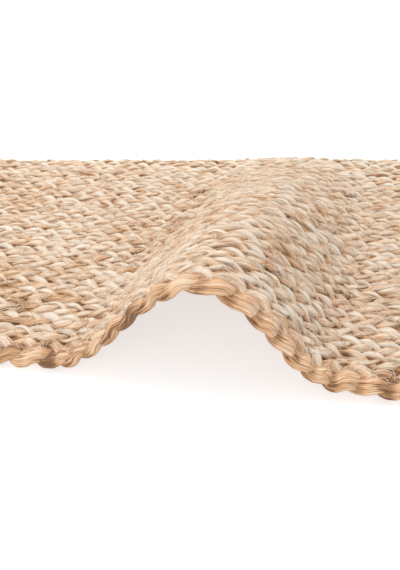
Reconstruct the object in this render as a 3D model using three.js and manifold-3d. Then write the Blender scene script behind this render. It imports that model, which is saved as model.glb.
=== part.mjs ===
// A cut length of a plaited jute rug, its front edge pushed up into one wave.
// Millimetres, +Z up. +X runs along the plaits and +Y from the front edge to the back.
import * as THREE from 'three';
import { mergeVertices } from 'three/addons/utils/BufferGeometryUtils.js';
import Module from 'manifold-3d';

// The plaited rows
const PLAIT_WIDTH = 25.2;
const PLAIT_THICKNESS = 10;
const FIELD_ROWS = 16;
const SEAM_GAP = 0.3;

// The cut length
const LEFT_END = -292;
const ROW_LENGTH = 475;
const BACK_CUT_AT_LEFT = 342.7;
const BACK_CUT_TURN = THREE.MathUtils.degToRad(9);

// Steps along a row: short ones where the rug bends, long ones where it lies flat
const BENT_FROM = -104;
const BENT_TO = 152;
const BENT_STEP = 8;
const FLAT_STEP = 31;
const TRACE_STEP = 2;

// One row for each fold: where its crest stands at the front edge, how far the crest line leans
// to the right for each millimetre of depth, its height at the front edge, how far it reaches to
// each side of the crest, and the depth at which it has died out.
const FOLDS = [
  { name: 'wave', crest: 2, lean: 0.12, height: 66, left: 97, right: 90, fade: 430, power: 1.5 },
  { name: 'right_foot', crest: 92, lean: 0.1, height: 3, left: 38, right: 44, fade: 150, power: 2 },
];

// A field row across its width, as shares of the width, with heights over the underside
const ROW_TOP = [
  { across: 0, lift: 7.2 },
  { across: 0.2, lift: 9.2 },
  { across: 0.5, lift: PLAIT_THICKNESS },
  { across: 0.8, lift: 9.2 },
];
const ROW_UNDER = [
  { across: 0, lift: 1.8 },
  { across: 0.2, lift: 0 },
  { across: 0.8, lift: 0 },
];
const CROWN_UNEVENNESS = 0.5;
const UNEVEN_WAVELENGTH = 61;
const UNEVEN_ROW_SHIFT = 2.3;

// The edge plait: round bundles that wrap the rug's outer edge
const EDGE_LOBE_PITCH = 17.8;
const EDGE_STEPS_PER_LOBE = 6;
const EDGE_LOBE_SLANT = 14;

// The edge plait's section, from its underside round the outer edge and back over the top. The
// swell is how far a bundle stands out there, and halfway says that the bundle belongs to the
// inner half, whose bundles lean the other way and sit half a pitch further on.
const EDGE_SECTION = [
  { across: 0.86, lift: 0, swell: 0, inner: true },
  { across: 0.14, lift: 0, swell: 0, inner: false },
  { across: 0.02, lift: 2.6, swell: 2, inner: false },
  { across: 0.02, lift: 6.4, swell: 2.4, inner: false },
  { across: 0.16, lift: 8.8, swell: 1.8, inner: false },
  { across: 0.34, lift: 9.6, swell: 1, inner: false },
  { across: 0.52, lift: 8.4, swell: 0, inner: false },
  { across: 0.76, lift: 9, swell: 1.2, inner: true },
  { across: 0.98, lift: 7.2, swell: 0, inner: true },
  { across: 0.98, lift: 1.8, swell: 0, inner: true },
];

// A soft bump: 1 at the middle, 0 at the reach and beyond
function bump(share) {
  return Math.cos((Math.PI / 2) * Math.min(1, Math.abs(share))) ** 2;
}

// Height of the underside over the floor
function underside(x, depth) {
  let height = 0;
  for (const fold of FOLDS) {
    const fromCrest = x - fold.crest - fold.lean * depth;
    const reach = fromCrest < 0 ? fold.left : fold.right;
    const fading = Math.cos((Math.PI / 2) * THREE.MathUtils.clamp(depth / fold.fade, 0, 1));
    height += fold.height * fading ** fold.power * bump(fromCrest / reach);
  }
  return height;
}

// The outward direction of the rug's face
function faceNormal(x, depth) {
  const step = 0.5;
  const slopeX = (underside(x + step, depth) - underside(x - step, depth)) / (2 * step);
  const slopeY = (underside(x, depth + step) - underside(x, depth - step)) / (2 * step);
  return new THREE.Vector3(-slopeX, -slopeY, 1).normalize();
}

// Walks one row from its left end and keeps x at each distance along the plait, so that every row
// keeps its length over the wave.
const tracedRows = new Map();
function tracedRow(depth) {
  if (!tracedRows.has(depth)) {
    const trace = [LEFT_END];
    while ((trace.length - 1) * TRACE_STEP < ROW_LENGTH) {
      const x = trace[trace.length - 1];
      const slope = underside(x + TRACE_STEP / 2, depth) - underside(x - TRACE_STEP / 2, depth);
      trace.push(x + TRACE_STEP / Math.hypot(1, slope / TRACE_STEP));
    }
    tracedRows.set(depth, trace);
  }
  return tracedRows.get(depth);
}

// The point at a distance along the row, a depth behind the front edge and a lift off the underside
function place(along, depth, lift) {
  const trace = tracedRow(depth);
  const step = Math.min(Math.floor(along / TRACE_STEP), trace.length - 2);
  const x = THREE.MathUtils.lerp(trace[step], trace[step + 1], along / TRACE_STEP - step);
  const point = new THREE.Vector3(x, depth, underside(x, depth));
  return point.addScaledVector(faceNormal(x, depth), lift);
}

// Distances along a row at which the field has a section
function fieldStations() {
  const bentFrom = BENT_FROM - LEFT_END;
  const bentTo = BENT_TO - LEFT_END;
  const stretches = [
    { from: 0, to: bentFrom, step: FLAT_STEP },
    { from: bentFrom, to: bentTo, step: BENT_STEP },
    { from: bentTo, to: ROW_LENGTH, step: FLAT_STEP },
  ];
  const stations = [0];
  for (const { from, to, step } of stretches) {
    const count = Math.ceil((to - from) / step);
    for (let i = 1; i <= count; i++) {
      stations.push(from + ((to - from) * i) / count);
    }
  }
  return stations;
}

// A closed skin over a list of rings with the same number of points, and a flat cap at each end
function skin(rings) {
  const around = rings[0].length;
  const positions = rings.flat().flatMap((point) => point.toArray());
  const faces = [];
  for (let i = 0; i + 1 < rings.length; i++) {
    for (let j = 0; j < around; j++) {
      const a = i * around + j;
      const b = i * around + ((j + 1) % around);
      faces.push(a, b, b + around, a, b + around, a + around);
    }
  }
  const outline = rings[0].map((point) => new THREE.Vector2(point.y, point.z));
  const last = (rings.length - 1) * around;
  for (const [a, b, c] of THREE.ShapeUtils.triangulateShape(outline, [])) {
    faces.push(a, c, b, last + a, last + b, last + c);
  }
  const geometry = new THREE.BufferGeometry();
  geometry.setAttribute('position', new THREE.Float32BufferAttribute(positions, 3));
  geometry.setIndex(faces);
  return geometry;
}

// The rows behind the edge plait, sewn side by side into one ribbed sheet
function fieldSolid() {
  const front = PLAIT_WIDTH + SEAM_GAP;
  const rings = fieldStations().map((along) => {
    const top = [];
    const under = [];
    for (let row = 0; row < FIELD_ROWS; row++) {
      const start = front + row * PLAIT_WIDTH;
      const phase = along / UNEVEN_WAVELENGTH + row * UNEVEN_ROW_SHIFT;
      const uneven = CROWN_UNEVENNESS * Math.sin(2 * Math.PI * phase);
      for (const { across, lift } of ROW_TOP) {
        const raised = lift === PLAIT_THICKNESS ? lift + uneven : lift;
        top.push(place(along, start + across * PLAIT_WIDTH, raised));
      }
      for (const { across, lift } of ROW_UNDER) {
        under.push(place(along, start + across * PLAIT_WIDTH, lift));
      }
    }
    const back = front + FIELD_ROWS * PLAIT_WIDTH;
    top.push(place(along, back, ROW_TOP[0].lift));
    under.push(place(along, back, ROW_UNDER[0].lift));
    return [...under, ...top.reverse()];
  });
  return skin(rings);
}

// The outermost plait, with its bundles raised
function edgePlaitSolid() {
  const count = Math.ceil((ROW_LENGTH / EDGE_LOBE_PITCH) * EDGE_STEPS_PER_LOBE);
  const rings = [];
  for (let i = 0; i <= count; i++) {
    const along = (ROW_LENGTH * i) / count;
    rings.push(EDGE_SECTION.map(({ across, lift, swell, inner }) => {
      const lean = inner ? (1 - across) * EDGE_LOBE_SLANT + EDGE_LOBE_PITCH / 2 : across * EDGE_LOBE_SLANT;
      const standsOut = swell * Math.abs(Math.sin((Math.PI * (along - lean)) / EDGE_LOBE_PITCH));
      const outward = across < 0.1 ? standsOut : 0;
      const upward = across < 0.1 ? 0 : standsOut;
      return place(along, across * PLAIT_WIDTH - outward, lift + upward);
    }).reverse());
  }
  return skin(rings);
}

// manifold-3d works on solids whose corners are shared
const wasm = await Module();
wasm.setup();

function toManifold(geometry) {
  const bare = new THREE.BufferGeometry();
  bare.setAttribute('position', geometry.getAttribute('position'));
  bare.setIndex(geometry.getIndex());
  const merged = mergeVertices(bare);
  return new wasm.Manifold(new wasm.Mesh({
    numProp: 3,
    vertProperties: merged.getAttribute('position').array,
    triVerts: new Uint32Array(merged.getIndex().array),
  }));
}

function toGeometry(manifold) {
  const mesh = manifold.getMesh();
  const geometry = new THREE.BufferGeometry();
  geometry.setAttribute('position', new THREE.BufferAttribute(mesh.vertProperties, 3));
  geometry.setIndex(new THREE.BufferAttribute(mesh.triVerts, 1));
  return geometry;
}

// What lies behind the straight cut across the back
function behindTheCut() {
  const size = 1000;
  const box = new THREE.BoxGeometry(size, size, size);
  box.translate(0, size / 2, 0);
  box.rotateZ(BACK_CUT_TURN);
  box.translate(LEFT_END, BACK_CUT_AT_LEFT, 0);
  return box;
}

function juteMesh(name, geometry, color) {
  geometry.computeVertexNormals();
  const material = new THREE.MeshStandardMaterial({ color, roughness: 0.9, metalness: 0 });
  const mesh = new THREE.Mesh(geometry, material);
  mesh.name = name;
  return mesh;
}

const cutField = toManifold(fieldSolid()).subtract(toManifold(behindTheCut()));

const rug = new THREE.Group();
rug.add(juteMesh('field', toGeometry(cutField), 0xddc4a4));
rug.add(juteMesh('edge_plait', edgePlaitSolid(), 0xd3b48c));

// The origin is under the middle of the rug, on the floor
const bounds = new THREE.Box3().setFromObject(rug);
const middle = bounds.getCenter(new THREE.Vector3());
rug.position.set(-middle.x, -middle.y, 0);

export default rug;
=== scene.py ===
# %% [markdown]
# # A plaited jute rug lying in one wave
#
# The rug is made of flat three-strand plaits of combed jute. They lie side by side and are joined
# out of sight, and the outermost plait has bigger bundles that wrap the edge. This is a cut length
# of such a rug, with its front edge pushed up into one wave that dies away towards the back.
#
# The CAD model holds the rug's true shape as two ribbed solids. It is loaded first as a fixed
# frame, and everything made here keeps to its box, give or take 2 mm: real strands in place of the
# ribs, a thin sheet inside them, loose fibres, materials, light and the camera. The strands could
# be carved into the solids instead, but there are over a thousand of their chevrons.

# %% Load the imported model
import math
import bmesh
import bpy
import numpy as np
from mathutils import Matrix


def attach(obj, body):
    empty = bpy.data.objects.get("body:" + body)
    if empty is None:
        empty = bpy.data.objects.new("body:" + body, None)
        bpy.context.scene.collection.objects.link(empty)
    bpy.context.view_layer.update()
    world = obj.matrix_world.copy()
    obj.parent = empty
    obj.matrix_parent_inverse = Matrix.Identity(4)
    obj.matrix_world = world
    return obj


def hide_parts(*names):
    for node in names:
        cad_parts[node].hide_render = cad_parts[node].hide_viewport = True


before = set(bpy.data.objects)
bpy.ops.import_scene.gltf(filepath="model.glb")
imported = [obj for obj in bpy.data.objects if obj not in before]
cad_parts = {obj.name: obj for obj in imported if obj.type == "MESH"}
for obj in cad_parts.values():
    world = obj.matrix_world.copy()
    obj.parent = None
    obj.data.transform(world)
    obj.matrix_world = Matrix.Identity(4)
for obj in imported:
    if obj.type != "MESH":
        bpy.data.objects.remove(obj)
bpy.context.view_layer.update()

scene = bpy.context.scene

# %% [markdown]
# ## The camera
#
# The viewing angle was worked out from the plaits. Their bundles are assumed to repeat every 15 mm,
# and the way that this shrinks with distance gives the camera's height, tilt and lens. It looks 30
# degrees down and 9 degrees to the left of the rows' own depth. A camera could also be aimed with
# a Track To constraint, but a plain place and direction is easier to check against the sums. The
# sensor's size belongs to the picture's longer side, which is its height.

# %% Camera
PICTURE_HEIGHT_PX = 570
FOCAL_LENGTH_PX = 758.6
SENSOR_MM = 36
LOOK_DOWN = math.radians(30)
LOOK_LEFT = math.radians(9)
CAMERA_PLACE = (0.11840, -0.59202, 0.29966)
NEAREST_SEEN = 0.01

camera_data = bpy.data.cameras.new("camera")
camera_data.sensor_width = SENSOR_MM
camera_data.lens = FOCAL_LENGTH_PX * SENSOR_MM / PICTURE_HEIGHT_PX
camera_data.clip_start = NEAREST_SEEN
camera = bpy.data.objects.new("camera", camera_data)
camera.location = CAMERA_PLACE
camera.rotation_euler = (math.pi / 2 - LOOK_DOWN, 0, LOOK_LEFT)
scene.collection.objects.link(camera)
scene.camera = camera
print("lens in mm:", round(camera_data.lens, 2))

# %% [markdown]
# ## The rug's surface
#
# A rug that is pushed up into a wave keeps its length: cloth bends, but hardly stretches. So the
# surface is a sum of two soft bumps, and each row is walked from its left end in small steps to
# find how far right every point along the plait has come. Cloth simulation could lift the rug
# too, but the wave in the picture has a plain shape that a short rule comes close to, and the CAD
# model uses the same rule.

# %% The wave, from the same sizes as the CAD model
LEFT_END = -0.292
ROW_LENGTH = 0.475
RUG_SHIFT = np.array([0.054503, -0.207738, 0.0])
FOLDS = (
    {"crest": 0.002, "lean": 0.12, "height": 0.066, "left": 0.097, "right": 0.090,
     "fade": 0.430, "power": 1.5},
    {"crest": 0.092, "lean": 0.10, "height": 0.003, "left": 0.038, "right": 0.044,
     "fade": 0.150, "power": 2.0},
)


def underside(x, depth):
    """Height of the rug's underside over the floor."""
    height = np.zeros(np.broadcast(x, depth).shape)
    for fold in FOLDS:
        from_crest = x - fold["crest"] - fold["lean"] * depth
        reach = np.where(from_crest < 0, fold["left"], fold["right"])
        share = np.minimum(1, np.abs(from_crest / reach))
        fading = np.cos(np.pi / 2 * np.clip(depth / fold["fade"], 0, 1)) ** fold["power"]
        height = height + fold["height"] * fading * np.cos(np.pi / 2 * share) ** 2
    return height


crest_height = float(underside(FOLDS[0]["crest"], 0.0))
print("underside of the crest over the floor, in m:", round(crest_height, 4))

# %% A guide mesh: flat rug coordinates in its UV map, the bent surface in its points
GUIDE_MARGIN = 0.012
ALONG_STEP = 0.002
DEPTH_STEP = 0.004
GUIDE_DEPTH = 0.444
SLOPE_STEP = 0.0005

alongs = np.arange(-GUIDE_MARGIN, ROW_LENGTH + GUIDE_MARGIN + ALONG_STEP, ALONG_STEP)
depths = np.arange(-GUIDE_MARGIN, GUIDE_DEPTH + DEPTH_STEP, DEPTH_STEP)


def walk_rows():
    """The x of every point along every row, so that each row keeps its length."""
    x = np.full(len(depths), LEFT_END + alongs[0])
    walked = [x]
    for _ in alongs[1:]:
        rise = underside(x + ALONG_STEP / 2, depths) - underside(x - ALONG_STEP / 2, depths)
        x = x + ALONG_STEP / np.hypot(1, rise / ALONG_STEP)
        walked.append(x)
    return np.array(walked)


def guide_points():
    """Points and face directions of the underside, one row of the array for each distance."""
    x = walk_rows()
    depth = np.broadcast_to(depths, x.shape)
    right = underside(x + SLOPE_STEP, depth) - underside(x - SLOPE_STEP, depth)
    back = underside(x, depth + SLOPE_STEP) - underside(x, depth - SLOPE_STEP)
    facing = np.stack([-right, -back, np.full(x.shape, 2 * SLOPE_STEP)], axis=-1)
    facing /= np.linalg.norm(facing, axis=-1, keepdims=True)
    return np.stack([x, depth, underside(x, depth)], axis=-1) + RUG_SHIFT, facing


def make_guide():
    """The bent surface as a mesh, with its flat map and its face directions."""
    points, facing = guide_points()
    rows, columns = points.shape[:2]
    corner = np.arange(rows * columns).reshape(rows, columns)
    faces = np.stack([corner[:-1, :-1], corner[1:, :-1], corner[1:, 1:], corner[:-1, 1:]], axis=-1)
    mesh = bpy.data.meshes.new("rug_guide")
    mesh.from_pydata(points.reshape(-1, 3).tolist(), [], faces.reshape(-1, 4).tolist())
    mesh.attributes.new("facing", "FLOAT_VECTOR", "POINT").data.foreach_set("vector", facing.ravel())
    flat = np.meshgrid(np.linspace(0, 1, rows), np.linspace(0, 1, columns), indexing="ij")
    flat_map = mesh.uv_layers.new(name="flat")
    flat_places = np.stack(flat, axis=-1).reshape(-1, 2)
    flat_map.data.foreach_set("uv", flat_places[faces.reshape(-1)].ravel())
    guide = bpy.data.objects.new("rug_guide", mesh)
    scene.collection.objects.link(guide)
    return guide


guide = make_guide()
highest = float(guide_points()[0][..., 2].max())
print("guide points:", len(guide.data.vertices), "highest underside in m:", round(highest, 4))

# %% [markdown]
# ## Writing node trees as sums
#
# A plait is a formula of some two hundred nodes, which is hard to read as a list of links. So a
# small class stands for a number inside a node tree: adding two of them adds a Math node. The
# same nodes could be placed by hand in the editor. Written this way, the rule of the plait stays
# readable, and the same class serves the materials.

# %% Numbers that live in a node tree
def plug(tree, source, socket):
    """Links a node's output to a socket, or sets the socket to a plain value."""
    if isinstance(source, Number):
        source = source.socket
    if isinstance(source, bpy.types.NodeSocket):
        tree.links.new(source, socket)
    else:
        socket.default_value = source


def add_node(tree, kind, inputs=None, **settings):
    """A new node with its settings made and its inputs linked or set, by name or by number."""
    made = tree.nodes.new(kind)
    for name, setting in settings.items():
        setattr(made, name, setting)
    for key, source in (inputs or {}).items():
        named = [s for s in made.inputs if s.enabled and s.name == key]
        plug(tree, source, named[0] if named else made.inputs[key])
    return made


class Number:
    """A number that a node tree works out."""

    def __init__(self, tree, socket):
        self.tree = tree
        self.socket = socket

    def work(self, operation, *others):
        """The result of a Math node that starts from this number."""
        made = self.tree.nodes.new("ShaderNodeMath")
        made.operation = operation
        for socket, source in zip(made.inputs, (self, *others)):
            plug(self.tree, source, socket)
        return Number(self.tree, made.outputs[0])

    def __add__(self, other):
        return self.work("ADD", other)

    def __sub__(self, other):
        return self.work("SUBTRACT", other)

    def __mul__(self, other):
        return self.work("MULTIPLY", other)

    def __truediv__(self, other):
        return self.work("DIVIDE", other)

    __radd__ = __add__
    __rmul__ = __mul__


def vector(tree, x, y, z):
    return add_node(tree, "ShaderNodeCombineXYZ", {"X": x, "Y": y, "Z": z}).outputs[0]


def split(tree, source):
    parts = add_node(tree, "ShaderNodeSeparateXYZ", {"Vector": source}).outputs
    return [Number(tree, part) for part in parts]


def noise(tree, place, detail=0.0, scale=1.0):
    """Smooth chance, from about 0.2 to 0.8, that changes once for each unit of place."""
    made = add_node(tree, "ShaderNodeTexNoise", {"Vector": place, "Scale": scale, "Detail": detail})
    return Number(tree, made.outputs[0])


# %% Growing a mesh from a tree
def new_tree(name, inputs):
    """A geometry tree with the named inputs, and its group input's sockets by name."""
    tree = bpy.data.node_groups.new(name, "GeometryNodeTree")
    for label, kind in inputs.items():
        tree.interface.new_socket(label, in_out="INPUT", socket_type="NodeSocket" + kind)
    tree.interface.new_socket("Geometry", in_out="OUTPUT", socket_type="NodeSocketGeometry")
    given = tree.nodes.new("NodeGroupInput").outputs
    return tree, {label: Number(tree, given[label]) for label in inputs}


def end_tree(tree, geometry, material):
    """Realize Instances and Set Material come last, because the export drops instances."""
    real = add_node(tree, "GeometryNodeRealizeInstances", {"Geometry": geometry})
    dressed = add_node(tree, "GeometryNodeSetMaterial", {
        "Geometry": real.outputs[0], "Material": material})
    output = tree.nodes.new("NodeGroupOutput")
    tree.links.new(dressed.outputs[0], output.inputs[0])


def grow(name, tree, values):
    """A new object whose plain mesh is what the tree makes with these values."""
    piece = bpy.data.objects.new(name, bpy.data.meshes.new(name + "_start"))
    scene.collection.objects.link(piece)
    modifier = piece.modifiers.new("grow", "NODES")
    modifier.node_group = tree
    for item in tree.interface.items_tree:
        if item.in_out == "INPUT":
            modifier[item.identifier] = values[item.name]
    graph = bpy.context.evaluated_depsgraph_get()
    mesh = bpy.data.meshes.new_from_object(
        piece.evaluated_get(graph), preserve_all_data_layers=True, depsgraph=graph)
    piece.modifiers.remove(modifier)
    mesh.name = name
    piece.data = mesh
    return piece


# %% [markdown]
# ## Jute fibre
#
# Each strand is a hank of combed fibre: pale cream to straw, here and there orange-tan, with fine
# streaks that run along the strand and a dull silky shine. A picture could be wrapped round the
# strand. Here noise is stretched along the strand's own length instead, so the streaks follow
# every bend. The tone attribute says how dark each stretch of fibre is, and it carries painted
# shade as well as the fibre's own colour.

# %% Jute material
TONES = (
    (0.00, (0.905, 0.795, 0.670)),
    (0.16, (0.885, 0.720, 0.550)),
    (0.32, (0.825, 0.595, 0.400)),
    (0.55, (0.710, 0.430, 0.240)),
    (0.78, (0.500, 0.260, 0.110)),
    (1.00, (0.180, 0.080, 0.030)),
)
STREAKS_ALONG = 42
STREAKS_ACROSS = 1400
CREASES_ALONG = 26
CREASES_ACROSS = 230
CREASE_WIDTH = 0.055
COARSE_SHARE = 0.65
FINE_SHARE = 0.35
FINE_SCALE = 2.3
STREAK_CONTRAST = 3.2
BUMP_STRENGTH = 0.7
BUMP_DISTANCE = 0.0007
ROUGHNESS = 0.45
ROUGHNESS_SPREAD = 0.25
SHEEN = 0.15
SHEEN_ROUGHNESS = 0.5


def stretch(tree, place, factors):
    """A place in the pattern, made longer or shorter on each axis."""
    return add_node(tree, "ShaderNodeVectorMath", {0: place, 1: factors}, operation="MULTIPLY").outputs[0]


def jute_material(name, streak_share, groove_shade_share, shine):
    """Combed jute: colour from the tone attribute and streaks, with a bump along the fibres and painted
    shade in the creases.
    """
    material = bpy.data.materials.new(name)
    material.use_nodes = True
    tree = material.node_tree
    tree.nodes.clear()
    fibre = add_node(tree, "ShaderNodeAttribute", attribute_name="fibre").outputs["Vector"]
    tone = Number(tree, add_node(tree, "ShaderNodeAttribute", attribute_name="tone").outputs["Fac"])

    # Streaks: noise spread about 0.5
    stretched = stretch(tree, fibre, (STREAKS_ALONG, STREAKS_ACROSS, STREAKS_ACROSS))
    coarse = noise(tree, stretched, detail=2.0)
    fine = noise(tree, stretched, detail=1.0, scale=FINE_SCALE)
    streaks = (coarse * COARSE_SHARE + fine * FINE_SHARE - 0.5) * STREAK_CONTRAST + 0.5

    # Creases: thin grooves where another noise passes 0.5, dented by the bump and darkened with painted
    # shade
    parted = stretch(tree, fibre, (CREASES_ALONG, CREASES_ACROSS, CREASES_ACROSS))
    off_crease = (noise(tree, parted, detail=1.0) - 0.5).work("ABSOLUTE") / CREASE_WIDTH
    crease = off_crease.work("MINIMUM", 1.0) * -1.0 + 1.0

    # Colour with painted shade in the creases, bump and shine
    shade = tone + (streaks - 0.5) * streak_share + crease * groove_shade_share
    ramp = add_node(tree, "ShaderNodeValToRGB", {"Fac": shade})
    stops = ramp.color_ramp.elements
    while len(stops) < len(TONES):
        stops.new(0.5)
    for stop, (place, colour) in zip(stops, TONES):
        stop.position = place
        stop.color = (*colour, 1)
    bump = add_node(tree, "ShaderNodeBump", {
        "Height": streaks - crease, "Strength": BUMP_STRENGTH, "Distance": BUMP_DISTANCE})
    roughness = streaks * ROUGHNESS_SPREAD + ROUGHNESS
    skin = add_node(tree, "ShaderNodeBsdfPrincipled", {
        "Base Color": ramp.outputs[0], "Roughness": roughness, "Normal": bump.outputs[0],
        "Specular IOR Level": shine, "Sheen Weight": SHEEN, "Sheen Roughness": SHEEN_ROUGHNESS})
    add_node(tree, "ShaderNodeOutputMaterial", {"Surface": skin.outputs[0]})
    return material


jute_field = jute_material("jute_field", streak_share=0.50, groove_shade_share=0.24, shine=0.20)
jute_edge = jute_material("jute_edge", streak_share=0.68, groove_shade_share=0.28, shine=0.35)
print("tones in the jute:", len(TONES))

# %% [markdown]
# ## One plait
#
# In a flat three-strand plait each strand swings from side to side, and passes over and under the
# other two as it does so. All three take the same path, a third of a swing apart. The
# strand could be modelled once by hand and repeated, but it has to follow the wave, and no two
# bundles are alike. So a straight tube is bent by the formula, made a little uneven by noise, and
# then laid on the guide.

# %% The tree of a three-strand plait
# Three of these inputs weigh painted shade: low in the weave, on the near side, and where a strand runs
# under
PLAIT_INPUTS = {
    "Length": "Float", "Bundle Pitch": "Float", "Swing": "Float", "Dip": "Float", "Underside": "Float",
    "Half Width": "Float", "Half Thickness": "Float", "Swell": "Float", "Narrowing": "Float",
    "Widest At": "Float", "Thickest At": "Float", "Fullness": "Float", "Hidden Crossing": "Float",
    "Lopsided": "Float", "Middle Lift": "Float", "Near Side": "Float", "Near Shade": "Float",
    "Tan At": "Float", "Tan Share": "Float", "Near Open": "Float", "Near Slit Shadow": "Float",
    "Depth": "Float", "Phase": "Float", "Seed": "Float", "Unevenness": "Float", "Ridges": "Float",
    "Rings": "Int", "Sides": "Int", "Base Tone": "Float", "Contrast": "Float", "Painted Shade": "Float",
    "Guide": "Object", "Material": "Material",
}
STRANDS = 3
STRAND_TURN = 2 * math.pi / STRANDS
# Painted shade starts under the weave's top lift and is full this depth lower
TOP_LIFT = 0.0098
SHADE_FADE_DEPTH = 0.0035
TAN_REACH = 0.016

# The fibre pattern's own sizes: its twist in radians a metre, its stretch and the strand's radius
FIBRE_TWIST = 12.0
FIBRE_STRETCH = 1.25
PATTERN_RADIUS = 0.005

# The steps that keep the chance of two plaits, and of two strands in a plait, apart
PLAIT_STEP = 4.1
STRAND_STEP = 1.3

# How often in a metre each unevenness changes, and the lane of the noise that it has to itself
CHANGES = {
    "drift": {"rate": 14, "lane": 0.0},
    "sway": {"rate": 60, "lane": 3.0},
    "bob": {"rate": 75, "lane": 7.0},
    "body": {"rate": 70, "lane": 11.0},
    "hank": {"rate": 34, "lane": 17.0},
    "patch": {"rate": 9, "lane": 23.0},
}
RIDGE_RATE = 30
RIDGES_ROUND = 4.2
PATCH_DEPTH_RATE = 14

# How far each unevenness goes, as a share of the size that it changes, or in metres for the bob
SWAY_SHARE = 0.5
BOB_HEIGHT = 0.0016
WIDTH_SHARE = 0.9
THICKNESS_SHARE = 0.4

# Tone: patches over several plaits, and hanks that pass the rare limit and are darker
PATCH_SHARE = 0.6
RARE_LIMIT = 0.60
RARE_GAIN = 2.8


def on_guide(tree, guide_object, along, depth, lift):
    """The point at a distance along the rug, a depth behind its edge and a lift off its underside."""
    info = add_node(tree, "GeometryNodeObjectInfo", {"Object": guide_object}, transform_space="ORIGINAL")
    across_guide = (alongs[-1] - alongs[0], depths[-1] - depths[0])
    place = vector(tree, (along - alongs[0]) / across_guide[0],
                   (depth - depths[0]) / across_guide[1], 0.0)
    flat = add_node(tree, "GeometryNodeInputNamedAttribute", {"Name": "flat"},
                    data_type="FLOAT_VECTOR")
    facing = add_node(tree, "GeometryNodeInputNamedAttribute", {"Name": "facing"},
                      data_type="FLOAT_VECTOR")
    sampled = []
    for value in (tree.nodes.new("GeometryNodeInputPosition").outputs[0], facing.outputs[0]):
        found = add_node(tree, "GeometryNodeSampleUVSurface", {
            "Mesh": info.outputs["Geometry"], "Value": value, "UV Map": flat.outputs[0], "Sample UV": place},
            data_type="FLOAT_VECTOR")
        sampled.append(next(s for s in found.outputs if s.enabled and s.name == "Value"))
    raised = add_node(tree, "ShaderNodeVectorMath", {0: sampled[1], "Scale": lift}, operation="SCALE")
    return add_node(tree, "ShaderNodeVectorMath", {0: sampled[0], 1: raised.outputs[0]},
                    operation="ADD").outputs[0]


def three_tubes(tree, given):
    """Three straight tubes of radius 1 in one place, each knowing which strand it is."""
    end = vector(tree, given["Length"], 0.0, 0.0)
    line = add_node(tree, "GeometryNodeCurvePrimitiveLine", {"End": end})
    stations = add_node(tree, "GeometryNodeResampleCurve", {
        "Curve": line.outputs[0], "Count": given["Rings"]})
    ring = add_node(tree, "GeometryNodeCurvePrimitiveCircle", {
        "Resolution": given["Sides"], "Radius": 1.0})
    tube = add_node(tree, "GeometryNodeCurveToMesh", {
        "Curve": stations.outputs[0], "Profile Curve": ring.outputs[0], "Fill Caps": True})
    places = add_node(tree, "GeometryNodeMeshLine", {"Count": STRANDS, "Offset": (0.0, 0.0, 0.0)})
    copies = add_node(tree, "GeometryNodeInstanceOnPoints", {
        "Points": places.outputs[0], "Instance": tube.outputs[0]})
    index = tree.nodes.new("GeometryNodeInputIndex").outputs[0]
    marked = add_node(tree, "GeometryNodeStoreNamedAttribute", {
        "Geometry": copies.outputs[0], "Name": "strand", "Value": index},
        data_type="FLOAT", domain="INSTANCE")
    return add_node(tree, "GeometryNodeRealizeInstances", {"Geometry": marked.outputs[0]}).outputs[0]


def store(tree, geometry, name, value, kind):
    """Keeps a value at every point under a name, for a later node or for the material."""
    made = add_node(tree, "GeometryNodeStoreNamedAttribute", {
        "Geometry": geometry, "Name": name, "Value": value}, data_type=kind, domain="POINT")
    return made.outputs[0]


def fuller(part, power, size):
    """Pushes a circle's sine or cosine outwards, so that the section is a rounded box."""
    return part.work("ABSOLUTE").work("POWER", power) * part.work("SIGN") * size


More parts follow.
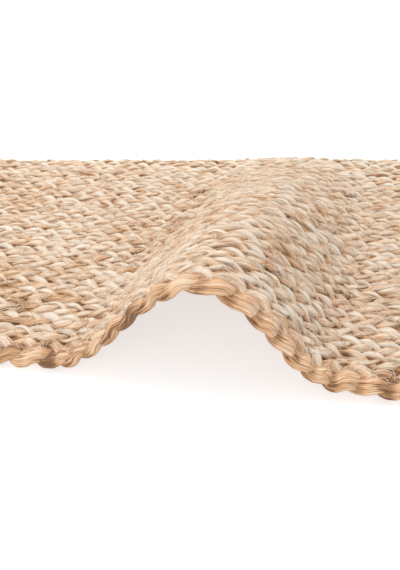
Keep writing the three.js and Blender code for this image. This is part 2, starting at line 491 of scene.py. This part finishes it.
def make_plait_tree():
    """Bends three straight tubes into the strands of one plait, and lays them on the guide."""
    tree, given = new_tree("three_strand_plait", PLAIT_INPUTS)
    tubes = three_tubes(tree, given)
    along, side, top = split(tree, tree.nodes.new("GeometryNodeInputPosition").outputs[0])
    turn_round = top.work("ARCTAN2", side)
    strand = Number(tree, add_node(tree, "GeometryNodeInputNamedAttribute", {"Name": "strand"},
                                   data_type="FLOAT").outputs[0])
    seed = given["Seed"] * PLAIT_STEP + strand * STRAND_STEP
    uneven = given["Unevenness"]

    def change(kind, detail=0.0):
        place = vector(tree, along * CHANGES[kind]["rate"], seed, CHANGES[kind]["lane"])
        return noise(tree, place, detail)

    # The strand's path: a swing to each side, with two dips in it
    drift = change("drift") - 0.5
    turn = (along / given["Bundle Pitch"] + strand) * STRAND_TURN + given["Phase"] + drift * uneven
    sway = change("sway") - 0.5
    hidden = given["Hidden Crossing"]
    led = turn - hidden * (turn * 2).work("COSINE")
    swing = led.work("SINE")
    lopsided = given["Lopsided"]
    off_middle = swing - lopsided * swing * swing + lopsided + sway * uneven * SWAY_SHARE
    across = given["Swing"] * off_middle
    climb = (turn * 2).work("SINE") * -1.0
    low_part = given["Underside"] * climb.work("MINIMUM", 0.0)
    rise = given["Dip"] * (climb.work("MAXIMUM", 0.0) + low_part)
    bob = change("bob") - 0.5
    rise = rise + bob * uneven * BOB_HEIGHT

    # The strand's section: upright slices, wider where the strand runs aslant, taller at the edges
    speed = led.work("COSINE") * (hidden * (turn * 2).work("SINE") * 2 + 1)
    slope = speed * given["Swing"] * STRAND_TURN / given["Bundle Pitch"]
    widening = (slope * slope + 1).work("SQRT")
    spread = ((turn - given["Widest At"]) * 2).work("COSINE") * 0.5 + 0.5
    fattening = ((turn - given["Thickest At"]) * 2).work("COSINE") * 0.5 + 0.5
    body = change("body") - 0.5
    narrowing = given["Narrowing"]
    near_side = swing * -1
    half_width = given["Half Width"] * widening * (spread * narrowing + 1 - narrowing)
    half_width = half_width * (body * uneven * WIDTH_SHARE + 1)
    half_width = half_width * (near_side * given["Near Side"] + 1)
    half_thickness = given["Half Thickness"] * (fattening * given["Swell"] + 1)
    half_thickness = half_thickness * (body * uneven * THICKNESS_SHARE + 1)
    cosine = turn_round.work("COSINE")
    sine = turn_round.work("SINE")
    ridge_place = vector(tree, along * RIDGE_RATE + seed, cosine * RIDGES_ROUND, sine * RIDGES_ROUND)
    ridge = (noise(tree, ridge_place) - 0.5) * given["Ridges"] + 1
    depth = given["Depth"] + across + fuller(cosine, given["Fullness"], half_width * ridge)
    lift = given["Middle Lift"] + rise + fuller(sine, given["Fullness"], half_thickness * ridge)
    lift = lift.work("MAXIMUM", 0.0)

    # Where each point is in the strand's own fibres, so that the streaks follow every bend
    twisted = turn_round + along * FIBRE_TWIST
    fibre = vector(tree, along * FIBRE_STRETCH + seed, twisted.work("COSINE") * PATTERN_RADIUS,
                   twisted.work("SINE") * PATTERN_RADIUS)

    # Chance in the tone: each hank has its own, and patches run over several plaits
    hank = change("hank", detail=1.0)
    patch_place = vector(tree, along * CHANGES["patch"]["rate"], given["Depth"] * PATCH_DEPTH_RATE,
                         CHANGES["patch"]["lane"])
    patch = noise(tree, patch_place, detail=1.0)
    rare = (hank - RARE_LIMIT).work("MAXIMUM", 0.0) * RARE_GAIN

    # Painted shade low in the weave, less on the open near side. It goes by height, not by which way a
    # face looks, so the rug's underside comes out darker than its top, which a real one's is not
    shade_by_depth = ((lift * -1 + TOP_LIFT) / SHADE_FADE_DEPTH).work("MINIMUM", 1.0).work("MAXIMUM", 0.0)
    outward = near_side.work("MAXIMUM", 0.0)
    shade_by_depth = shade_by_depth * ((outward * given["Near Open"]).work("MINIMUM", 1.0) * -1 + 1)
    # Painted shadow on the near side, where a strand runs under the others
    under = (climb * -1).work("MAXIMUM", 0.0)
    slit = under * outward * given["Near Slit Shadow"]

    # The tone in all: painted shade darkens the near side and lightens the far side, and some rows have one
    # placed tan hank
    tone = (hank - 0.5) * given["Contrast"] + (patch - 0.5) * PATCH_SHARE + rare
    tone = tone + shade_by_depth * shade_by_depth * given["Painted Shade"] + given["Base Tone"] + slit
    spot = (along - given["Tan At"]).work("ABSOLUTE") / -TAN_REACH + 1
    tone = tone + near_side * given["Near Shade"] + spot.work("MAXIMUM", 0.0) * given["Tan Share"]
    shape = store(tree, tubes, "fibre", fibre, "FLOAT_VECTOR")
    shape = store(tree, shape, "tone", tone, "FLOAT")
    place = on_guide(tree, given["Guide"], along, depth, lift)
    laid = add_node(tree, "GeometryNodeSetPosition", {"Geometry": shape, "Position": place}).outputs[0]
    smooth = add_node(tree, "GeometryNodeSetShadeSmooth", {"Geometry": laid, "Shade Smooth": True})
    end_tree(tree, smooth.outputs[0], given["Material"])
    return tree


plait_tree = make_plait_tree()
print("nodes in the plait tree:", len(plait_tree.nodes))

# %% [markdown]
# ## The field
#
# Twenty-four plaits lie behind the edge plait. They take the depth of the CAD model's sixteen
# ribs, three plaits to two ribs, because the rows in the picture are finer than those ribs. One
# plait could be made and copied, but no two rows are alike. So each is grown anew, with its own
# start in the plaiting, its own unevenness and here and there a tan hank. At the back the rug is
# cut off straight, askew to the plaits, and each cut strand is closed with a flat face.

# %% Trimming a piece at the back cut
BACK_CUT_AT_LEFT = 0.3427
BACK_CUT_TURN = math.radians(9)
CUT_PLACE = np.array([LEFT_END, BACK_CUT_AT_LEFT, 0.0]) + RUG_SHIFT
CUT_FACING = (-math.sin(BACK_CUT_TURN), math.cos(BACK_CUT_TURN), 0.0)


def trim_at_back(piece):
    """Cuts off what lies behind the back cut, and closes the strands there."""
    shape = bmesh.new()
    shape.from_mesh(piece.data)
    cut = bmesh.ops.bisect_plane(shape, geom=shape.verts[:] + shape.edges[:] + shape.faces[:],
                                 plane_co=CUT_PLACE, plane_no=CUT_FACING, clear_outer=True)
    rim = [edge for edge in cut["geom_cut"] if isinstance(edge, bmesh.types.BMEdge)]
    bmesh.ops.holes_fill(shape, edges=rim, sides=0)
    shape.to_mesh(piece.data)
    shape.free()


print("depth of the rug at its left end, in m:", BACK_CUT_AT_LEFT)

# %% Twenty-four plaits
EDGE_PLAIT_WIDTH = 0.0252
PLAIT_WIDTH = 0.0168
FIELD_ROWS = 24
LARGEST_PHASE = 0.8
ROW_CHANCE_SEED = 11

# Below zero, because the field starts a little in front of the edge plait's nominal back
SEAM_GAP = -0.0012

# How far along its row each tan hank lies, and a place for rows that have none
TAN_SPOTS = {
    2: 0.306, 3: 0.150, 4: 0.176, 5: 0.363, 6: 0.190, 7: 0.175,
    8: 0.425, 9: 0.355, 11: 0.243, 12: 0.246, 14: 0.244, 16: 0.250,
}
OFF_THE_RUG = -1.0

# Three of these sizes weigh painted shade: low in the weave, on the near side, and where a strand runs under
PLAIT = {
    "Length": ROW_LENGTH, "Bundle Pitch": 0.015, "Swing": 0.0063, "Dip": 0.0018, "Underside": 0.8,
    "Hidden Crossing": 0.20, "Lopsided": 0.0, "Near Side": 0.12, "Half Width": 0.0034,
    "Half Thickness": 0.0025, "Swell": 0.5, "Narrowing": 0.30, "Widest At": math.radians(130),
    "Thickest At": math.radians(50), "Fullness": 0.62, "Middle Lift": 0.0050,
    "Unevenness": 1.40, "Ridges": 0.60, "Rings": 230, "Sides": 20, "Base Tone": 0.09,
    "Contrast": 0.6, "Painted Shade": 0.55, "Near Shade": 0.10, "Near Open": 0.0, "Near Slit Shadow": 0.15,
    "Tan Share": 0.30, "Guide": guide, "Material": jute_field,
}
chance = np.random.default_rng(ROW_CHANCE_SEED)
field_plaits = []
for row in range(FIELD_ROWS):
    middle = EDGE_PLAIT_WIDTH + PLAIT_WIDTH * (row + 0.5) + SEAM_GAP
    own = {"Depth": middle, "Phase": float(chance.uniform(0, LARGEST_PHASE)), "Seed": float(row + 1),
           "Tan At": TAN_SPOTS.get(row + 1, OFF_THE_RUG)}
    plait = grow(f"plait_{row + 1:02d}", plait_tree, PLAIT | own)
    trim_at_back(plait)
    field_plaits.append(plait)
print("field plaits:", len(field_plaits), "faces in the first:", len(field_plaits[0].data.polygons))

# %% [markdown]
# ## The edge plait
#
# The outermost plait is made of thicker hanks, and its near bundles wrap right round the rug's
# edge from the top to the underside. Its few dozen bundles could be modelled by hand, but they
# would not follow the wave by themselves. So it is the same rule with other sizes, and with more
# rings and sides, because it is the part that shows best.

# %% Edge plait
EDGE_SET_BACK = 0.001
# The edge plait sets its own weights of the same painted shade
EDGE = PLAIT | {
    "Depth": EDGE_PLAIT_WIDTH / 2 + EDGE_SET_BACK, "Phase": 0.4, "Seed": 40.0, "Material": jute_edge,
    "Bundle Pitch": 0.0178, "Swing": 0.0068, "Dip": 0.0026, "Underside": 0.2,
    "Hidden Crossing": 0.05, "Lopsided": -0.50, "Near Side": 0.36, "Half Width": 0.0058,
    "Half Thickness": 0.0029, "Swell": 0.4, "Narrowing": 0.10, "Widest At": math.radians(95),
    "Thickest At": math.radians(90), "Fullness": 0.72, "Middle Lift": 0.0052,
    "Unevenness": 0.50, "Ridges": 0.14, "Rings": 380, "Sides": 48, "Base Tone": 0.40,
    "Contrast": 0.9, "Painted Shade": 0.50, "Near Shade": 0.15, "Near Open": 0.8, "Near Slit Shadow": 0.34,
    "Tan At": 0.190, "Tan Share": 0.20,
}
edge_bundles = grow("edge_bundles", plait_tree, EDGE)
print("faces in the edge plait:", len(edge_bundles.data.polygons))

# %% [markdown]
# ## Loose fibres
#
# Combed jute is never quite smooth: short fibres work loose and lie across the bundles. Hair
# particles could make them, but here each one has to lie on the weave itself. So one short line is
# scattered over the rug, bent a little, and every point of it is dropped on to the plaits by a ray.
# Thousands of fine ones make the fuzz, and a few stray ones are thicker, darker and more bent.

# %% Fibres dropped on to the weave
FIBRE_INPUTS = {
    "Count": "Int", "Seed": "Int", "Length": "Float", "Radius": "Float", "Arch": "Float", "Bend": "Float",
    "Front": "Float", "Back": "Float", "Base Tone": "Float",
    "Guide": "Object", "Weave": "Object", "Material": "Material",
}
FIBRE_POINTS = 6
FIBRE_SIDES = 3
DROP_FROM = 0.03
END_MARGIN = 0.004
WIDEST_AIM = 1.3
SHORTEST = 0.4
LONGEST = 1.3
PATTERN_SPREAD = 7.0
DARKEST = 0.8

# A fibre's missed value is the mean of its points, so one missed point takes it past this
MISSED_LIMIT = 0.01


def chance_value(tree, low, high, seed):
    """A number by chance for each scattered line."""
    made = add_node(tree, "FunctionNodeRandomValue", {"Seed": seed}, data_type="FLOAT")
    floats = [socket for socket in made.inputs if socket.enabled and socket.name in ("Min", "Max")]
    plug(tree, low, floats[0])
    plug(tree, high, floats[1])
    return Number(tree, next(socket for socket in made.outputs if socket.enabled))


def named(tree, name):
    """A number that was stored under this name."""
    made = add_node(tree, "GeometryNodeInputNamedAttribute", {"Name": name}, data_type="FLOAT")
    return Number(tree, made.outputs[0])


def scattered_lines(tree, given):
    """Many copies of one line of length 1 in one place, each with its own chance values."""
    line = add_node(tree, "GeometryNodeCurvePrimitiveLine", {
        "Start": (-0.5, 0.0, 0.0), "End": (0.5, 0.0, 0.0)})
    stations = add_node(tree, "GeometryNodeResampleCurve", {
        "Curve": line.outputs[0], "Count": FIBRE_POINTS})
    places = add_node(tree, "GeometryNodeMeshLine", {
        "Count": given["Count"], "Offset": (0.0, 0.0, 0.0)})
    scattered = add_node(tree, "GeometryNodeInstanceOnPoints", {
        "Points": places.outputs[0], "Instance": stations.outputs[0]}).outputs[0]
    drawn = {
        "start_along": (END_MARGIN, ROW_LENGTH - END_MARGIN),
        "start_depth": (given["Front"], given["Back"]),
        "aim": (-WIDEST_AIM, WIDEST_AIM),
        "size": (SHORTEST, LONGEST),
        "bow": (-1.0, 1.0),
        "rise": (0.0, 1.0),
        "dark": (0.0, 1.0),
    }
    for order, (name, (low, high)) in enumerate(drawn.items()):
        value = chance_value(tree, low, high, given["Seed"] + order)
        scattered = add_node(tree, "GeometryNodeStoreNamedAttribute", {
            "Geometry": scattered, "Name": name, "Value": value},
            data_type="FLOAT", domain="INSTANCE").outputs[0]
    return add_node(tree, "GeometryNodeRealizeInstances", {"Geometry": scattered}).outputs[0]


def make_fibre_tree():
    """Bends the scattered lines, drops them on to the weave and gives them a thickness."""
    tree, given = new_tree("loose_fibres", FIBRE_INPUTS)
    lines = scattered_lines(tree, given)

    # The line's shape, from -0.5 at one end of it to 0.5 at the other
    station, _, _ = split(tree, tree.nodes.new("GeometryNodeInputPosition").outputs[0])
    run = station * named(tree, "size") * given["Length"]
    side = station * station * named(tree, "bow") * given["Bend"] * given["Length"]
    aim = named(tree, "aim")
    sine = aim.work("SINE")
    cosine = aim.work("COSINE")
    along = named(tree, "start_along") + cosine * run - sine * side
    depth = named(tree, "start_depth") + sine * run + cosine * side

    # A ray from over the weave finds where each point lies, and the arch lifts the fibre's middle
    above = on_guide(tree, given["Guide"], along, depth, DROP_FROM)
    below = on_guide(tree, given["Guide"], along, depth, 0.0)
    down = add_node(tree, "ShaderNodeVectorMath", {0: below, 1: above},
                    operation="SUBTRACT").outputs[0]
    weave = add_node(tree, "GeometryNodeObjectInfo", {"Object": given["Weave"]},
                     transform_space="ORIGINAL")
    ray = add_node(tree, "GeometryNodeRaycast", {
        "Target Geometry": weave.outputs["Geometry"], "Source Position": above, "Ray Direction": down,
        "Ray Length": DROP_FROM})
    lift = named(tree, "rise") * (station * station * -4 + 1) * given["Arch"] / DROP_FROM
    back_up = add_node(tree, "ShaderNodeVectorMath", {0: down, "Scale": lift * -1},
                       operation="SCALE").outputs[0]
    place = add_node(tree, "ShaderNodeVectorMath", {0: ray.outputs["Hit Position"], 1: back_up},
                     operation="ADD").outputs[0]

    # A ray that passes the rug's rim lands on nothing, and its whole fibre goes
    missed = Number(tree, ray.outputs["Is Hit"]) * -1 + 1
    tested = store(tree, lines, "missed", missed, "FLOAT")
    too_far = named(tree, "missed").work("GREATER_THAN", MISSED_LIMIT)
    on_weave = add_node(tree, "GeometryNodeDeleteGeometry", {
        "Geometry": tested, "Selection": too_far}, domain="CURVE")
    laid = add_node(tree, "GeometryNodeSetPosition", {
        "Geometry": on_weave.outputs[0], "Position": place}).outputs[0]

    # Most fibres are light and a few dark, and each is a thin tube with three sides
    dark = named(tree, "dark")
    fibre = vector(tree, along * FIBRE_STRETCH + dark, dark * PATTERN_SPREAD, 0.0)
    shape = store(tree, laid, "fibre", fibre, "FLOAT_VECTOR")
    shape = store(tree, shape, "tone", dark * dark * dark * DARKEST + given["Base Tone"], "FLOAT")
    ring = add_node(tree, "GeometryNodeCurvePrimitiveCircle", {
        "Resolution": FIBRE_SIDES, "Radius": given["Radius"]})
    tube = add_node(tree, "GeometryNodeCurveToMesh", {
        "Curve": shape, "Profile Curve": ring.outputs[0], "Fill Caps": True})
    end_tree(tree, tube.outputs[0], given["Material"])
    return tree


def joined_copy(pieces):
    """One mesh of all the plaits, for the rays to land on."""
    shape = bmesh.new()
    for piece in pieces:
        shape.from_mesh(piece.data)
    mesh = bpy.data.meshes.new("weave_target")
    shape.to_mesh(mesh)
    shape.free()
    target = bpy.data.objects.new("weave_target", mesh)
    scene.collection.objects.link(target)
    return target


weave_target = joined_copy([edge_bundles, *field_plaits])
fibre_tree = make_fibre_tree()
LOOSE = {
    "Count": 7000, "Seed": 5, "Length": 0.013, "Radius": 0.00018, "Arch": 0.0022, "Bend": 1.0,
    "Front": 0.008, "Back": 0.34, "Base Tone": -0.05,
    "Guide": guide, "Weave": weave_target, "Material": jute_field,
}
STRAY = LOOSE | {
    "Count": 160, "Seed": 21, "Length": 0.014, "Radius": 0.00025, "Bend": 1.6, "Base Tone": 0.12,
}
loose_fibres = grow("loose_fibres", fibre_tree, LOOSE)
stray_fibres = grow("stray_fibres", fibre_tree, STRAY)
print("faces of loose fibres:", len(loose_fibres.data.polygons))
print("faces of stray fibres:", len(stray_fibres.data.polygons))

# %% [markdown]
# ## The heart of the rug
#
# Between the bundles lies what nobody sees: the insides of the plaits and whatever holds them
# together, pressed into one thin layer. It could be left out, but then nothing dark would lie
# under the slits between the bundles. So one thin sheet is laid inside the plaits, on the same
# surface, and its dark brown is painted shade for the deep slits. It stands for the rug as a sheet
# of cloth, with the plaits as the pieces on it.

# %% Heart sheet
HEART_LOW = 0.0028
HEART_HIGH = 0.0064
HEART_MARGIN = 0.003
HEART_FRONT = 0.007
HEART_BACK_MARGIN = 4 * HEART_MARGIN
HEART_STEP = 0.005
HEART_PATCH_RATE = 300
# The heart's dark tone is painted shade for the deep slits, with a little spread
PAINTED_HEART_SHADE = 0.85
HEART_TONE_SPREAD = 0.2


def make_heart():
    """A sheet without thickness inside the plaits. Its back is trimmed later, as theirs is."""
    tree, given = new_tree("heart_sheet", {"Guide": "Object", "Material": "Material"})
    length = ROW_LENGTH - 2 * HEART_MARGIN
    width = GUIDE_DEPTH - HEART_BACK_MARGIN - HEART_FRONT
    sheet = add_node(tree, "GeometryNodeMeshGrid", {
        "Size X": length, "Size Y": width,
        "Vertices X": int(length / HEART_STEP), "Vertices Y": int(width / HEART_STEP)})
    x, y, _ = split(tree, tree.nodes.new("GeometryNodeInputPosition").outputs[0])
    along = x + length / 2 + HEART_MARGIN
    depth = y + width / 2 + HEART_FRONT
    shape = store(tree, sheet.outputs[0], "fibre", vector(tree, along, depth, 0.0), "FLOAT_VECTOR")
    patch = noise(tree, vector(tree, along * HEART_PATCH_RATE, depth * HEART_PATCH_RATE, 0.0))
    # Painted shade: the heart is dark brown so that the slits above it read as deep
    shape = store(tree, shape, "tone", patch * HEART_TONE_SPREAD + PAINTED_HEART_SHADE, "FLOAT")
    place = on_guide(tree, given["Guide"], along, depth, HEART_LOW)
    laid = add_node(tree, "GeometryNodeSetPosition", {"Geometry": shape, "Position": place}).outputs[0]
    end_tree(tree, laid, given["Material"])
    return grow("rug_heart", tree, {"Guide": guide, "Material": jute_field})


def thicken(piece, thickness):
    """Solidify closes the sheet's rim, and the result is kept as a plain mesh."""
    solidify = piece.modifiers.new("thickness", "SOLIDIFY")
    solidify.thickness = thickness
    solidify.offset = 1
    graph = bpy.context.evaluated_depsgraph_get()
    mesh = bpy.data.meshes.new_from_object(piece.evaluated_get(graph), depsgraph=graph)
    piece.modifiers.remove(solidify)
    piece.data = mesh


rug_heart = make_heart()
thicken(rug_heart, HEART_HIGH - HEART_LOW)
trim_at_back(rug_heart)
print("heart faces:", len(rug_heart.data.polygons))

# %% [markdown]
# ## Floor and light
#
# The rug is pictured on plain white, in soft light that comes mostly from above and the left. A
# sky picture could light it, but this script reads no pictures. So a bright even sky keeps the
# shadows open, one large panel to the left gives the bundles their modelling, and a low panel in
# front lights the floor under the wave. The floor glows a little, to come near the white.

# %% Floor
def plain_material(name, colour, roughness):
    material = bpy.data.materials.new(name)
    material.use_nodes = True
    shader = material.node_tree.nodes["Principled BSDF"]
    shader.inputs["Base Color"].default_value = (*colour, 1)
    shader.inputs["Roughness"].default_value = roughness
    return material


FLOOR_SIZE = 12
FLOOR_DROP = 0.0002
FLOOR_GREY = 0.55
FLOOR_ROUGHNESS = 0.9
FLOOR_GLOW = 0.66
floor_mesh = bpy.data.meshes.new("floor")
reach = FLOOR_SIZE / 2
floor_mesh.from_pydata([(-reach, -reach, -FLOOR_DROP), (reach, -reach, -FLOOR_DROP),
                        (reach, reach, -FLOOR_DROP), (-reach, reach, -FLOOR_DROP)], [], [(0, 1, 2, 3)])
floor = bpy.data.objects.new("floor", floor_mesh)
white = plain_material("floor_white", (FLOOR_GREY, FLOOR_GREY, FLOOR_GREY), FLOOR_ROUGHNESS)
floor_shader = white.node_tree.nodes["Principled BSDF"]
floor_shader.inputs["Emission Color"].default_value = (1, 1, 1, 1)
floor_shader.inputs["Emission Strength"].default_value = FLOOR_GLOW
floor_mesh.materials.append(white)
scene.collection.objects.link(floor)
print("side of the floor in m:", FLOOR_SIZE)

# %% Light
SKY_STRENGTH = 0.73
PANELS = (
    {"name": "key_panel", "place": (-0.45, 0.25, 1.45), "target": (0, 0, 0), "size": 0.8, "power": 15},
    {"name": "front_panel", "place": (-0.35, -1.3, 0.40), "target": (0.05, -0.1, 0.02), "size": 0.8,
     "power": 4},
)
world = bpy.data.worlds.new("studio")
world.use_nodes = True
sky = world.node_tree.nodes["Background"]
sky.inputs["Color"].default_value = (1, 1, 1, 1)
sky.inputs["Strength"].default_value = SKY_STRENGTH
scene.world = world
scene.view_settings.view_transform = "Standard"


def panel(name, place, target, size, power):
    """A square soft light that faces its target."""
    light = bpy.data.lights.new(name, "AREA")
    light.size = size
    light.energy = power
    lamp = bpy.data.objects.new(name, light)
    lamp.location = place
    away = np.array(place) - np.array(target)
    flat = math.hypot(away[0], away[1])
    lamp.rotation_euler = (math.atan2(flat, away[2]), 0, math.atan2(away[0], -away[1]))
    scene.collection.objects.link(lamp)


for each_panel in PANELS:
    panel(**each_panel)

# %% [markdown]
# ## What stands for what
#
# Every piece rides on the one body of the rug. The plaits and the heart take the place of the CAD
# field, and the edge bundles that of the CAD edge plait, while the fibres replace nothing. All the
# pieces could be joined into one, but apart they keep their names.

for helper in (guide, weave_target):
    bpy.data.objects.remove(helper)

for plait in field_plaits:
    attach(plait, "root")
    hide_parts("field")
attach(edge_bundles, "root")
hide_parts("edge_plait")
for piece in (loose_fibres, stray_fibres):
    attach(piece, "root")
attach(rug_heart, "root")
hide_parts("field")
print("pieces that lie on the sheet:", len(field_plaits) + len((edge_bundles, loose_fibres, stray_fibres)))
